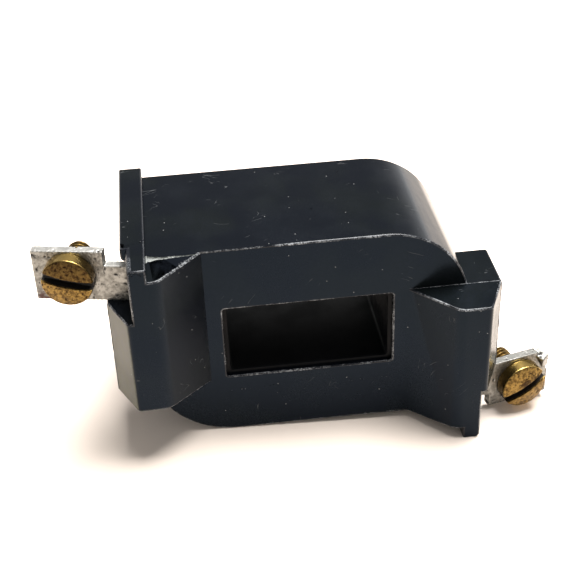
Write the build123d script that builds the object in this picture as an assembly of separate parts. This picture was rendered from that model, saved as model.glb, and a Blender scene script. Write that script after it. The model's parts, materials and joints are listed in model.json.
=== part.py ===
from build123d import *
import math
import os

os.makedirs("parts", exist_ok=True)

# Encapsulated electromagnet coil: a potted winding round a rectangular core window, with two
# diagonally opposed terminal lobes, each holding a flat terminal strip and a slotted brass screw.
#
# Frame, in millimetres: origin at the centre of the core window, half way through the depth.
# X runs from terminal to terminal, Y runs along the window towards the back, Z is up.
# A half turn about Y carries the right-hand lobe and its contents onto the left-hand ones.

# Potted body
BODY_HALF_WIDTH = 27.0
BODY_HALF_HEIGHT = 18.4
DEPTH = 26.6
BODY_CORNER_RADIUS = 14.0
FRONT_Y = -DEPTH / 2
BACK_Y = DEPTH / 2

# How far cutting tools reach past what they cut
OVERCUT = 1.0

# Opening for the iron core: the mouth in the potting and the slightly smaller bore of the bobbin
MOUTH_WIDTH = 28.4
MOUTH_HEIGHT = 13.8
MOUTH_CORNER_RADIUS = 0.4
BORE_WIDTH = 27.0
BORE_HEIGHT = 12.7
BORE_CORNER_RADIUS = 0.5
FACE_WALL = 1.0

# Terminal lobe, given for the right-hand side
LOBE_FORWARD = 6.9
LOBE_FRONT_Y = FRONT_Y - LOBE_FORWARD
LOBE_BACK_Y = FRONT_Y + 10.1
LOBE_INNER_X = 16.9
LOBE_CREASE_X = 24.1
LOBE_NOSE_X = 29.3
LOBE_SIDE_X = 32.55
LOBE_TOP_Z = 7.5
LOBE_BOTTOM_Z = -BODY_HALF_HEIGHT
LOBE_DRAFT_DROP = 0.45
CREASE_RADIUS = 3.0
NOSE_RADIUS = 1.0
SHOULDER_RADIUS = 0.5

# Recess in the lobe's outer side, through which the terminal strip comes out
RECESS_TOP_Z = -10.4
RECESS_NOSE_X = 28.45
RECESS_SIDE_X = 28.7

# Rail under the lobe, which runs the whole depth
RAIL_INNER_X = 25.6
RAIL_OUTER_X = 29.5
RAIL_BOTTOM_Z = -20.25
RAIL_TOP_Z = -17.8
RAIL_ROUND = 0.9
RAIL_FRONT_CHAMFER = 0.5

# Bobbin
TUBE_WALL = 1.0
TUBE_CORNER_RADIUS = 1.0
TUBE_HALF_WIDTH = BORE_WIDTH / 2 + TUBE_WALL
TUBE_HALF_HEIGHT = BORE_HEIGHT / 2 + TUBE_WALL
FLANGE_THICKNESS = 1.2
FLANGE_OFFSET = 9.0
BOBBIN_HALF_LENGTH = DEPTH / 2 - FACE_WALL
WINDING_HALF_LENGTH = BOBBIN_HALF_LENGTH - FLANGE_THICKNESS

# Turns and insulation: distances outward from the bobbin's tube
CORE_WRAP = 0.3
WINDING_BAND = 2.4
INTERLAYER_WRAP = 0.25
OUTER_WRAP = 0.4

# Tapes on the outer wrap: one holds its end down, one holds the finish lead
TAPE_THICKNESS = 0.25
TAPE_LENGTH = 9.0
TAPE_CATCH = 8.0
WRAP_TAPE_FRONT_Y = -10.6
LEAD_TAPE_FRONT_Y = -9.6
TAPE_BACK_Y = -4.0

# Terminal strips
STRIP_THICKNESS = 1.6
STRIP_HEAD_HEIGHT = 9.1
STRIP_NECK_HEIGHT = 6.5
STRIP_HEAD_LENGTH = 11.6
STRIP_FACE_Y = FRONT_Y + 0.12
STRIP_MIDDLE_Y = STRIP_FACE_Y + STRIP_THICKNESS / 2
STRIP_ROOT_X = 24.0
STRIP_BEND_RADIUS = 2.4
TAB_END_X = 22.5
TAB_HEIGHT = 2.4
TAB_CENTRE_Z = -14.7
RELIEF_DEPTH = 10.0
TAPPED_HOLE_RADIUS = 2.10
CORNER_FOLD_SPAN = 2.3
CORNER_FOLD_DROP = 4.5
CORNER_FOLD_ANGLE = 72.0

# Terminal screws
SCREW_CENTRE_Z = -15.1
SCREW_HEAD_RADIUS = 4.2
SCREW_HEAD_HEIGHT = 2.4
SCREW_CROWN = 0.75
SCREW_SLOT_WIDTH = 1.45
SCREW_SLOT_OFFSET = 0.25
SCREW_SLOT_DEPTH = 1.9
SCREW_SHANK_RADIUS = 2.05
SCREW_STUB = 6.2
SCREW_TIP_CHAMFER = 0.4

# Lead wires. Rim distances run out along the diagonal of the spool's corner.
LEAD_RADIUS = 0.35
LEAD_BEND_RADIUS = 0.45
LEAD_END_X = 24.4
LEAD_TURN_X = TAB_END_X - 0.5
LEAD_RIM_DISTANCE = 10.9
START_LEAD_RIM_DISTANCE = TUBE_CORNER_RADIUS + 1.5
LEAD_SLOT_START = TUBE_CORNER_RADIUS + 0.8
LEAD_SLOT_CLEARANCE = 0.05
FINISH_LEAD_TAKE_OFF_Y = -7.0
FINISH_LEAD_TURN_Y = -12.6
SLEEVE_RADIUS = 0.6
START_SLEEVE_RIM_DISTANCES = (TUBE_CORNER_RADIUS + 2.6, TUBE_CORNER_RADIUS + FLANGE_OFFSET - 0.3)
FINISH_SLEEVE_Y = (-7.9, -11.9)

# Solder joints between the leads and the tabs
SOLDER_GAP = 0.1
LEAD_Y_ON_TAB = STRIP_FACE_Y - LEAD_RADIUS - SOLDER_GAP
SOLDER_RADIUS = 0.85
SOLDER_LENGTH = 1.7
SOLDER_CHAMFER = 0.3
SOLDER_MIDDLE_X = TAB_END_X + 1.0


class StripForm:
    """How one terminal strip has been bent outside its lobe."""

    def __init__(self, bend_x, sweep_angle, head_start, slot_angle, corner_folded):
        self.bend_x = bend_x
        self.sweep_angle = sweep_angle
        self.head_start = head_start
        self.slot_angle = slot_angle
        self.corner_folded = corner_folded

    def outward(self):
        angle = math.radians(self.sweep_angle)
        return Vector(math.cos(angle), math.sin(angle), 0)

    def facing(self):
        angle = math.radians(self.sweep_angle)
        return Vector(math.sin(angle), -math.cos(angle), 0)

    def on_middle(self, distance):
        start = Vector(self.bend_x, STRIP_MIDDLE_Y, 0)
        return start + self.outward() * distance


RIGHT_FORM = StripForm(bend_x=31.6, sweep_angle=14.0, head_start=0.1, slot_angle=26.0, corner_folded=True)
LEFT_FORM = StripForm(bend_x=28.7, sweep_angle=11.5, head_start=3.5, slot_angle=-12.0, corner_folded=False)
SCREW_FROM_HEAD_START = 5.65


def half_turn(shape):
    return shape.rotate(Axis.Y, 180)


def slab(outline, y_low, y_high):
    """Extrude an outline drawn in X and Z between two depths."""
    return extrude(Plane.XZ.offset(-y_low) * outline, amount=-(y_high - y_low))


def upright(outline, z_low, z_high):
    """Extrude an outline drawn in X and Y between two heights."""
    return extrude(Plane.XY.offset(z_low) * outline, amount=z_high - z_low)


def lengthways(points_yz, x_low, x_high):
    """Extrude a polygon drawn in Y and Z between two positions along X."""
    outline = make_face(Polyline(*points_yz, close=True))
    return extrude(Plane.YZ.offset(x_low) * outline, amount=x_high - x_low)


# ---------------------------------------------------------------- potted body


def body_block():
    outline = Rectangle(2 * BODY_HALF_WIDTH, 2 * BODY_HALF_HEIGHT)
    rounded = [v for v in outline.vertices() if v.X * v.Y > 0]
    return slab(fillet(rounded, BODY_CORNER_RADIUS), FRONT_Y, BACK_Y)


def lobe_block():
    plan = make_face(
        Polyline(
            (LOBE_INNER_X, FRONT_Y),
            (LOBE_CREASE_X, LOBE_FRONT_Y),
            (LOBE_NOSE_X, LOBE_FRONT_Y),
            (LOBE_SIDE_X, FRONT_Y),
            (LOBE_SIDE_X, LOBE_BACK_Y),
            (LOBE_INNER_X, LOBE_BACK_Y),
            close=True,
        )
    )
    for x, y, radius in (
        (LOBE_CREASE_X, LOBE_FRONT_Y, CREASE_RADIUS),
        (LOBE_NOSE_X, LOBE_FRONT_Y, NOSE_RADIUS),
        (LOBE_SIDE_X, FRONT_Y, SHOULDER_RADIUS),
        (LOBE_SIDE_X, LOBE_BACK_Y, SHOULDER_RADIUS),
    ):
        corner = plan.vertices().sort_by_distance((x, y, 0))[0]
        plan = fillet(corner, radius)
    lobe = upright(plan, LOBE_BOTTOM_Z, LOBE_TOP_Z)
    reach = LOBE_FORWARD + OVERCUT
    drop = LOBE_DRAFT_DROP * reach / LOBE_FORWARD
    for edge_z, way in ((LOBE_TOP_Z, 1), (LOBE_BOTTOM_Z, -1)):
        wedge = [
            (FRONT_Y, edge_z),
            (FRONT_Y - reach, edge_z - way * drop),
            (FRONT_Y - reach, edge_z + way * OVERCUT),
            (FRONT_Y, edge_z + way * OVERCUT),
        ]
        lobe -= lengthways(wedge, 0, LOBE_SIDE_X + OVERCUT)
    return lobe


def recess():
    plan = make_face(
        Polyline(
            (RECESS_NOSE_X, LOBE_FRONT_Y - OVERCUT),
            (RECESS_SIDE_X, FRONT_Y),
            (RECESS_SIDE_X, LOBE_BACK_Y + OVERCUT),
            (LOBE_SIDE_X + OVERCUT, LOBE_BACK_Y + OVERCUT),
            (LOBE_SIDE_X + OVERCUT, LOBE_FRONT_Y - OVERCUT),
            close=True,
        )
    )
    return upright(plan, RAIL_BOTTOM_Z - OVERCUT, RECESS_TOP_Z)


def rail_front():
    """The rail's stretch in front of the body, which is flush with the recess's side."""
    side_view = [
        (FRONT_Y, LOBE_BOTTOM_Z + OVERCUT),
        (FRONT_Y, RAIL_BOTTOM_Z),
        (LOBE_FRONT_Y, RAIL_BOTTOM_Z),
        (LOBE_FRONT_Y, LOBE_BOTTOM_Z + OVERCUT),
    ]
    front = lengthways(side_view, RAIL_INNER_X, RECESS_SIDE_X + OVERCUT) - recess()
    outer_edge = front.edges().sort_by(Axis.Z)[:4].sort_by(Axis.X)[-1]
    return chamfer(outer_edge, RAIL_FRONT_CHAMFER)


def rail_back():
    width = RAIL_OUTER_X - RAIL_INNER_X
    height = RAIL_TOP_Z - RAIL_BOTTOM_Z
    outline = Pos(RAIL_INNER_X + width / 2, RAIL_BOTTOM_Z + height / 2) * Rectangle(width, height)
    corner = outline.vertices().sort_by_distance((RAIL_OUTER_X, RAIL_TOP_Z, 0))[0]
    return slab(fillet(corner, RAIL_ROUND), FRONT_Y, BACK_Y)


def potting_outside():
    lobe = lobe_block() + rail_front() - recess() + rail_back()
    outside = body_block() + lobe + half_turn(lobe)
    mouth = RectangleRounded(MOUTH_WIDTH, MOUTH_HEIGHT, MOUTH_CORNER_RADIUS)
    return outside - slab(mouth, FRONT_Y - OVERCUT, BACK_Y + OVERCUT)


# ------------------------------------------------------------ bobbin and turns


def spool_outline(offset):
    return RectangleRounded(
        2 * (TUBE_HALF_WIDTH + offset), 2 * (TUBE_HALF_HEIGHT + offset), TUBE_CORNER_RADIUS + offset
    )


def spool_ring(offset_inner, offset_outer, y_low, y_high):
    return slab(spool_outline(offset_outer) - spool_outline(offset_inner), y_low, y_high)


def rim_point(distance, y):
    """A point at a distance from the spool's lower right corner centre, on its diagonal."""
    reach = distance * math.sqrt(0.5)
    x = TUBE_HALF_WIDTH - TUBE_CORNER_RADIUS + reach
    z = TUBE_HALF_HEIGHT - TUBE_CORNER_RADIUS + reach
    return Vector(x, y, -z)


def flange_middle_y():
    return -BOBBIN_HALF_LENGTH + FLANGE_THICKNESS / 2


def lead_slot():
    """Radial slot in the front flange for the sleeved start lead."""
    inner = rim_point(LEAD_SLOT_START, flange_middle_y())
    outer = rim_point(TUBE_CORNER_RADIUS + FLANGE_OFFSET + OVERCUT, flange_middle_y())
    length = (outer - inner).length
    block = Box(length, FLANGE_THICKNESS, 2 * (SLEEVE_RADIUS + LEAD_SLOT_CLEARANCE))
    middle = (inner + outer) * 0.5
    return Pos(middle.X, middle.Y, middle.Z) * Rot(0, 45, 0) * block


def bobbin():
    bore = RectangleRounded(BORE_WIDTH, BORE_HEIGHT, BORE_CORNER_RADIUS)
    body = slab(spool_outline(0), -BOBBIN_HALF_LENGTH, BOBBIN_HALF_LENGTH)
    for y_low in (-BOBBIN_HALF_LENGTH, BOBBIN_HALF_LENGTH - FLANGE_THICKNESS):
        body += slab(spool_outline(FLANGE_OFFSET), y_low, y_low + FLANGE_THICKNESS)
    return body - slab(bore, -DEPTH, DEPTH) - lead_slot()


def wound_layers():
    """Names and thicknesses from the bobbin outwards."""
    return (
        ("core_wrap", CORE_WRAP),
        ("winding_inner", WINDING_BAND),
        ("interlayer_wrap_inner", INTERLAYER_WRAP),
        ("winding_middle", WINDING_BAND),
        ("interlayer_wrap_outer", INTERLAYER_WRAP),
        ("winding_outer", WINDING_BAND),
        ("outer_wrap", OUTER_WRAP),
    )


def layer_rings():
    rings = {}
    offset = 0
    for name, thickness in wound_layers():
        rings[name] = spool_ring(offset, offset + thickness, -WINDING_HALF_LENGTH, WINDING_HALF_LENGTH)
        offset += thickness
    return rings


def winding_build():
    return sum(thickness for name, thickness in wound_layers())


# --------------------------------------------------------------------- leads


def lead_along(points):
    path = FilletPolyline(*points, radius=LEAD_BEND_RADIUS)
    section = Plane(origin=path @ 0, z_dir=path % 0) * Circle(LEAD_RADIUS)
    return sweep(section, path=path)


def start_lead():
    y_in_slot = flange_middle_y()
    points = [
        rim_point(START_LEAD_RIM_DISTANCE, -WINDING_HALF_LENGTH),
        rim_point(START_LEAD_RIM_DISTANCE, y_in_slot),
        rim_point(LEAD_RIM_DISTANCE, y_in_slot),
        Vector(LEAD_TURN_X, LEAD_Y_ON_TAB, TAB_CENTRE_Z),
        Vector(LEAD_END_X, LEAD_Y_ON_TAB, TAB_CENTRE_Z),
    ]
    return lead_along(points)


def start_lead_sleeve():
    low, high = START_SLEEVE_RIM_DISTANCES
    return straight_tube(rim_point(low, flange_middle_y()), rim_point(high, flange_middle_y()))


def finish_lead_right():
    """The finish lead, drawn in the lower right corner and turned to the upper left later."""
    surface = TUBE_CORNER_RADIUS + winding_build() - OUTER_WRAP
    points = [
        rim_point(surface, FINISH_LEAD_TAKE_OFF_Y),
        rim_point(LEAD_RIM_DISTANCE, FINISH_LEAD_TAKE_OFF_Y),
        rim_point(LEAD_RIM_DISTANCE, FINISH_LEAD_TURN_Y),
        Vector(LEAD_TURN_X, LEAD_Y_ON_TAB, TAB_CENTRE_Z),
        Vector(LEAD_END_X, LEAD_Y_ON_TAB, TAB_CENTRE_Z),
    ]
    return lead_along(points)


def finish_lead_sleeve_right():
    low, high = FINISH_SLEEVE_Y
    return straight_tube(rim_point(LEAD_RIM_DISTANCE, low), rim_point(LEAD_RIM_DISTANCE, high))


def straight_tube(low, high):
    span = high - low
    plane = Plane(origin=low, z_dir=span)
    return extrude(plane * (Circle(SLEEVE_RADIUS) - Circle(LEAD_RADIUS)), amount=span.length)


def tape_over_wrap(y_low, y_high):
    """A short piece of tape round the outer wrap's lower right corner."""
    low = winding_build()
    ring = spool_ring(low, low + TAPE_THICKNESS, y_low, y_high)
    middle = rim_point(TUBE_CORNER_RADIUS + low, (y_low + y_high) / 2)
    keep = Pos(middle.X, middle.Y, middle.Z) * Rot(0, 45, 0) * Box(TAPE_CATCH, DEPTH, TAPE_LENGTH)
    return ring & keep


def solder_joint():
    blob = Rot(0, 90, 0) * Cylinder(SOLDER_RADIUS, SOLDER_LENGTH)
    blob = chamfer(blob.edges().filter_by(GeomType.CIRCLE), SOLDER_CHAMFER)
    return Pos(SOLDER_MIDDLE_X, LEAD_Y_ON_TAB, TAB_CENTRE_Z) * blob


# ------------------------------------------------------- terminal strips, screws


def strip_band(form):
    """The strip as a plain band of full height, with its bend."""
    end = form.on_middle(form.head_start + STRIP_HEAD_LENGTH)
    path = FilletPolyline(
        (TAB_END_X, STRIP_MIDDLE_Y),
        (form.bend_x, STRIP_MIDDLE_Y),
        (end.X, end.Y),
        radius=STRIP_BEND_RADIUS,
    )
    z_middle = RECESS_TOP_Z - STRIP_HEAD_HEIGHT / 2
    section = Plane(origin=(TAB_END_X, STRIP_MIDDLE_Y, z_middle), x_dir=(0, 1, 0), z_dir=(1, 0, 0))
    return sweep(section * Rectangle(STRIP_THICKNESS, STRIP_HEAD_HEIGHT), path=Pos(0, 0, z_middle) * path)


def corner_fold(form, band):
    """Fold the strip's upper outer corner forward, as wear has left it."""
    end = form.on_middle(form.head_start + STRIP_HEAD_LENGTH)
    top = form.on_middle(form.head_start + STRIP_HEAD_LENGTH - CORNER_FOLD_SPAN)
    flat = Plane(origin=(end.X, end.Y, RECESS_TOP_Z), x_dir=form.outward(), z_dir=form.facing())
    corner = make_face(
        Polyline(
            (-CORNER_FOLD_SPAN, 0),
            (OVERCUT, 0),
            (OVERCUT, -CORNER_FOLD_DROP),
            (0, -CORNER_FOLD_DROP),
            close=True,
        )
    )
    tool = extrude(flat * corner, amount=STRIP_THICKNESS, both=True)
    piece = band & tool
    fold_axis = Axis(
        (top.X, top.Y, RECESS_TOP_Z),
        form.outward() * CORNER_FOLD_SPAN + Vector(0, 0, -CORNER_FOLD_DROP),
    )
    return (band - tool) + piece.rotate(fold_axis, CORNER_FOLD_ANGLE)


def screw_plane(form):
    """Plane on the strip's face under the screw's head, looking forward."""
    centre = form.on_middle(form.head_start + SCREW_FROM_HEAD_START) + form.facing() * (STRIP_THICKNESS / 2)
    return Plane(
        origin=(centre.X, centre.Y, SCREW_CENTRE_Z), x_dir=form.outward(), z_dir=form.facing()
    )


def terminal_strip(form):
    band = strip_band(form)
    head_start = form.on_middle(form.head_start)
    neck_bottom = RECESS_TOP_Z - STRIP_NECK_HEIGHT
    length = head_start.X - TAB_END_X
    step = Plane(origin=(head_start.X, head_start.Y, neck_bottom), x_dir=form.outward(), z_dir=form.facing())
    relief = step * Pos(-length, -STRIP_HEAD_HEIGHT / 2) * Rectangle(2 * length, STRIP_HEAD_HEIGHT)
    band -= extrude(relief, amount=RELIEF_DEPTH, both=True)
    tab_top = TAB_CENTRE_Z + TAB_HEIGHT / 2
    tab_bottom = TAB_CENTRE_Z - TAB_HEIGHT / 2
    for z_low, z_high in ((tab_top, RECESS_TOP_Z + OVERCUT), (neck_bottom - OVERCUT, tab_bottom)):
        trim = Box(2 * (STRIP_ROOT_X - TAB_END_X), 2 * STRIP_THICKNESS, z_high - z_low)
        band -= Pos(TAB_END_X, STRIP_MIDDLE_Y, (z_low + z_high) / 2) * trim
    if form.corner_folded:
        band = corner_fold(form, band)
    hole = extrude(screw_plane(form) * Circle(TAPPED_HOLE_RADIUS), amount=2 * STRIP_THICKNESS, both=True)
    return band - hole


def terminal_screw(form):
    """A crowned cheese head with a straight slot, on a plain shank at the thread's outer size."""
    rim = (SCREW_HEAD_RADIUS, SCREW_HEAD_HEIGHT)
    crest = (0, SCREW_HEAD_HEIGHT + SCREW_CROWN)
    ball_radius = (SCREW_HEAD_RADIUS**2 + SCREW_CROWN**2) / (2 * SCREW_CROWN)
    side = Polyline(crest, (0, 0), (SCREW_HEAD_RADIUS, 0), rim)
    profile = make_face(side + RadiusArc(rim, crest, -ball_radius))
    head = revolve(Plane.XZ * profile, axis=Axis.Z)
    slot_middle = SCREW_HEAD_HEIGHT + SCREW_CROWN - SCREW_SLOT_DEPTH / 2 + OVERCUT / 2
    slot = Box(4 * SCREW_HEAD_RADIUS, SCREW_SLOT_WIDTH, SCREW_SLOT_DEPTH + OVERCUT)
    head -= Rot(0, 0, form.slot_angle) * Pos(0, -SCREW_SLOT_OFFSET, slot_middle) * slot
    shank_length = STRIP_THICKNESS + SCREW_STUB
    shank = Pos(0, 0, -shank_length / 2) * Cylinder(SCREW_SHANK_RADIUS, shank_length)
    tip_edges = shank.edges().sort_by(Axis.Z)[0]
    shank = chamfer(tip_edges, SCREW_TIP_CHAMFER)
    return screw_plane(form).location * (head + shank)


# ------------------------------------------------------------------- assembly


def build_nodes():
    nodes = {"bobbin": bobbin()}
    rings = layer_rings()
    lead_in = start_lead()
    lead_out = half_turn(finish_lead_right())
    lead_tape = half_turn(tape_over_wrap(LEAD_TAPE_FRONT_Y, TAPE_BACK_Y)) - lead_out
    rings["outer_wrap"] -= lead_out
    nodes.update(rings)
    nodes["wrap_end_tape"] = tape_over_wrap(WRAP_TAPE_FRONT_Y, TAPE_BACK_Y)
    strip_right = terminal_strip(RIGHT_FORM)
    strip_left = half_turn(terminal_strip(LEFT_FORM))
    nodes["start_lead"] = lead_in
    nodes["start_lead_sleeve"] = start_lead_sleeve()
    nodes["start_solder_joint"] = solder_joint() - strip_right - lead_in
    nodes["finish_lead"] = lead_out
    nodes["finish_lead_sleeve"] = half_turn(finish_lead_sleeve_right())
    nodes["finish_lead_tape"] = lead_tape
    nodes["finish_solder_joint"] = half_turn(solder_joint()) - strip_left - lead_out
    nodes["terminal_strip_right"] = strip_right
    nodes["terminal_strip_left"] = strip_left
    potting = potting_outside()
    potting -= slab(spool_outline(0), -BOBBIN_HALF_LENGTH, BOBBIN_HALF_LENGTH)
    for inner in nodes.values():
        potting -= inner
    nodes["encapsulation"] = potting
    nodes["terminal_screw_right"] = terminal_screw(RIGHT_FORM)
    nodes["terminal_screw_left"] = half_turn(terminal_screw(LEFT_FORM))
    return nodes


for node_name, node_shape in build_nodes().items():
    print(node_name, round(node_shape.volume, 2), "solids", len(node_shape.solids()))
    export_step(node_shape, f"parts/{node_name}.step")
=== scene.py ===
"""Looks of a potted magnet coil: a black resin block, two tinned strips and two brass screws.

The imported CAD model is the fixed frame. Each sub-assembly below is a class that builds its own
meshes in metres, in the CAD frame, and dresses them with a procedural finish.
"""

import json
import logging
import math
from dataclasses import dataclass
from enum import Enum

import bmesh
import bpy
from mathutils import Matrix, Vector, noise


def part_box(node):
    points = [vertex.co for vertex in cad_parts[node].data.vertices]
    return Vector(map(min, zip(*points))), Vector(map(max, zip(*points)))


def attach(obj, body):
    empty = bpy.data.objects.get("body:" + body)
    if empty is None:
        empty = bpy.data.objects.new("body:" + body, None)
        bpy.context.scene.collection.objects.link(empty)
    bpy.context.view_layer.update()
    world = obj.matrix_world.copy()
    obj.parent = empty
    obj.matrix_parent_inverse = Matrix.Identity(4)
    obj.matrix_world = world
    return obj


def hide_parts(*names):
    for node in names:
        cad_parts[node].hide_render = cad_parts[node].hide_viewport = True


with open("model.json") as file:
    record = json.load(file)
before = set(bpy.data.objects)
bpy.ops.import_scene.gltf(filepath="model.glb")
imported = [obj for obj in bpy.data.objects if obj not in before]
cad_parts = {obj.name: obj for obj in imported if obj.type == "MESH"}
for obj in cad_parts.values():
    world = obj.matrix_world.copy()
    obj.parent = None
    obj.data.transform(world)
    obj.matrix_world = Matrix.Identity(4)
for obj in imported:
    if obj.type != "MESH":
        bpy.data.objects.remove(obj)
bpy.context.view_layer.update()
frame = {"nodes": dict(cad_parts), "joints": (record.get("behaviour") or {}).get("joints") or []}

LOG = logging.getLogger("magnet_coil")
MM = 0.001

Colour = tuple[float, float, float]
Point = tuple[float, float, float]


class Side(Enum):
    """Which of the two diagonally opposed terminals a piece belongs to."""

    RIGHT = "right"
    LEFT = "left"

    @property
    def sign(self) -> int:
        """+1 on the right, -1 on the left, where a half turn about Y carries the right-hand form."""
        return 1 if self is Side.RIGHT else -1


# ------------------------------------------------------------------ mesh helpers


def add_object(name: str, mesh: bpy.types.Mesh) -> bpy.types.Object:
    """Link a new object at the origin.

    Args:
        name: The piece's name.
        mesh: Its mesh, already in place.

    Returns:
        The linked object.
    """
    piece = bpy.data.objects.new(name, mesh)
    bpy.context.scene.collection.objects.link(piece)
    return piece


def object_from_bmesh(name: str, bm: bmesh.types.BMesh) -> bpy.types.Object:
    """Turn a bmesh into a linked object and free it.

    Args:
        name: The piece's name.
        bm: The geometry, in place.

    Returns:
        The linked object.
    """
    mesh = bpy.data.meshes.new(name)
    bm.to_mesh(mesh)
    bm.free()
    return add_object(name, mesh)


def settle(piece: bpy.types.Object) -> None:
    """Replace a piece's mesh by its evaluated form and clear its modifiers."""
    depsgraph = bpy.context.evaluated_depsgraph_get()
    depsgraph.update()
    mesh = bpy.data.meshes.new_from_object(piece.evaluated_get(depsgraph))
    piece.modifiers.clear()
    piece.data = mesh


def merged_copy(node: str) -> bmesh.types.BMesh:
    """Copy a CAD node's loose triangles into a bmesh with shared vertices.

    Args:
        node: The CAD node's name.

    Returns:
        The merged geometry.
    """
    bm = bmesh.new()
    bm.from_mesh(frame["nodes"][node].data)
    bmesh.ops.remove_doubles(bm, verts=bm.verts, dist=0.002 * MM)
    return bm


def merge_flats(bm: bmesh.types.BMesh) -> None:
    """Join the triangles of each flat face, so that only real edges and seams are left."""
    bmesh.ops.dissolve_limit(
        bm, angle_limit=math.radians(0.6), verts=bm.verts, edges=bm.edges, delimit={"NORMAL", "SEAM"}
    )


def smooth_by_angle(piece: bpy.types.Object, degrees: float) -> None:
    """Shade a piece smooth, but keep edges sharper than an angle crisp."""
    piece.data.shade_smooth()
    piece.data.set_sharp_from_angle(angle=math.radians(degrees))


def soft_step(value: float, low: float, high: float) -> float:
    """Rise smoothly from 0 at low to 1 at high."""
    part = min(max((value - low) / (high - low), 0.0), 1.0)
    return part * part * (3.0 - 2.0 * part)


def store_value(piece: bpy.types.Object, name: str, values: list[float]) -> None:
    """Store one number for each vertex under a name that a finish reads."""
    layer = piece.data.attributes.new(name, "FLOAT", "POINT")
    layer.data.foreach_set("value", values)


# --------------------------------------------------------------- geometry recipes


class NodeTree:
    """Short helpers that add nodes to a tree and join them."""

    tree: bpy.types.NodeTree
    clamped: tuple[str, ...] = ()

    def add(self, kind: str, **settings) -> bpy.types.Node:
        """Add a node.

        Args:
            kind: The node's type.
            **settings: Properties to set on it.

        Returns:
            The new node.
        """
        node = self.tree.nodes.new(kind)
        for key, value in settings.items():
            setattr(node, key, value)
        return node

    def feed(self, socket: bpy.types.NodeSocket, value) -> None:
        """Join a socket to another, or set its constant."""
        if isinstance(value, bpy.types.NodeSocket):
            self.tree.links.new(value, socket)
        elif isinstance(value, tuple) and len(value) == 3 and socket.type == "RGBA":
            socket.default_value = (*value, 1.0)
        else:
            socket.default_value = value

    def math(self, operation: str, *values) -> bpy.types.NodeSocket:
        """Add a Math node, clamped where the tree clamps that operation.

        Args:
            operation: The node's operation.
            *values: Sockets or constants, in order.

        Returns:
            The result's socket.
        """
        node = self.add("ShaderNodeMath", operation=operation, use_clamp=operation in self.clamped)
        for socket, value in zip(node.inputs, values):
            self.feed(socket, value)
        return node.outputs[0]


class Recipe(NodeTree):
    """A Geometry Nodes tree with named inputs, which ends in Realize Instances and Set Material."""

    def __init__(self, name: str) -> None:
        """Start an empty tree.

        Args:
            name: The tree's name.
        """
        self.tree = bpy.data.node_groups.new(name, "GeometryNodeTree")
        self.identifiers: dict[str, str] = {}
        self.tree.interface.new_socket("Geometry", in_out="INPUT", socket_type="NodeSocketGeometry")
        self.tree.interface.new_socket("Geometry", in_out="OUTPUT", socket_type="NodeSocketGeometry")
        self.inputs = self.add("NodeGroupInput")

    def named(self, name: str, kind: str) -> bpy.types.NodeSocket:
        """Add a named input.

        Args:
            name: The input's name.
            kind: The part of the socket type after "NodeSocket", such as "Float".

        Returns:
            The socket that gives its value inside the tree.
        """
        item = self.tree.interface.new_socket(name, in_out="INPUT", socket_type="NodeSocket" + kind)
        self.identifiers[name] = item.identifier
        return self.inputs.outputs[name]

    def finish(self, geometry: bpy.types.NodeSocket, material: bpy.types.Material) -> None:
        """End the tree.

        Args:
            geometry: The socket that holds the result.
            material: What the result is made of.
        """
        realize = self.add("GeometryNodeRealizeInstances")
        dress = self.add("GeometryNodeSetMaterial")
        output = self.add("NodeGroupOutput")
        self.feed(realize.inputs["Geometry"], geometry)
        self.feed(dress.inputs["Geometry"], realize.outputs["Geometry"])
        self.feed(dress.inputs["Material"], material)
        self.feed(output.inputs["Geometry"], dress.outputs["Geometry"])

    def run(self, piece: bpy.types.Object, **values) -> bpy.types.Object:
        """Apply the tree to a piece and keep the result as its plain mesh.

        Args:
            piece: The object to rebuild.
            **values: The named inputs, with underscores for spaces.

        Returns:
            The same object, with its new mesh.
        """
        modifier = piece.modifiers.new(self.tree.name, "NODES")
        modifier.node_group = self.tree
        for name, value in values.items():
            modifier[self.identifiers[name.replace("_", " ")]] = value
        settle(piece)
        return piece


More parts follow.
